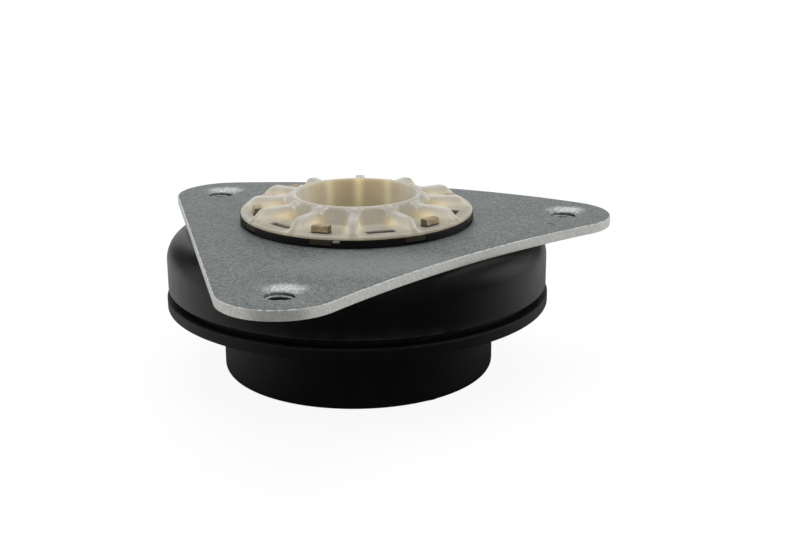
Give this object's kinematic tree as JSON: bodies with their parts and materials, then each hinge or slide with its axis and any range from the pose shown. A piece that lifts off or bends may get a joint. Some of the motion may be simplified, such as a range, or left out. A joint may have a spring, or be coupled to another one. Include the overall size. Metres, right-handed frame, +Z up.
{
  "type": "strut mount",
  "caption": "Strut top mount: lobed steel plate with threaded holes, rubber-isolated rod seat with a ribbed nylon collar, and a covered ball bearing that lets the spring seat turn.",
  "frame": {"origin": "on the bearing axis, at the lower end of the hub and guide bore", "axes": "+Z up along the bearing axis and out of the plate's top face; -Y towards the front bolt lobe, the side the picture is taken from"},
  "size_m": [0.1643, 0.1758, 0.065],
  "materials": {
    "zinc_steel": "zinc plated sheet, fine matte mottle, bright sheared edge",
    "black_steel": "satin black coating",
    "rubber": "moulded black rubber, matte",
    "core_steel": "plain pressed steel",
    "tan_nylon": "natural nylon, browned",
    "white_nylon": "translucent natural nylon",
    "black_nylon": "glass-filled black nylon",
    "race_steel": "hardened pressed steel",
    "ball_steel": "polished bearing steel"
  },
  "bodies": {
    "body_side": {"top_plate": "zinc_steel", "bearing_cover": "black_steel", "rubber_isolator": "rubber", "rod_core": "core_steel", "clip_ring": "tan_nylon", "top_insert": "white_nylon", "upper_carrier": "black_nylon", "upper_race": "race_steel"},
    "cage": {"ball_cage": "tan_nylon", "balls": "ball_steel"},
    "spring_seat": {"lower_race": "race_steel", "lower_carrier": "black_nylon", "outer_seal": "rubber", "inner_seal": "rubber", "spring_pad": "rubber"}
  },
  "joints": [
    {"name": "bearing_turn", "type": "hinge", "parent": "body_side", "child": "spring_seat", "pos_m": [0, 0, 0.041], "axis": [0, 0, 1], "continuous": true},
    {"name": "cage_turn", "type": "hinge", "parent": "body_side", "child": "cage", "pos_m": [0, 0, 0.041], "axis": [0, 0, 1], "continuous": true}
  ],
  "couplings": [
    {"joint": "cage_turn", "follows": "bearing_turn", "ratio": 0.5}
  ]
}
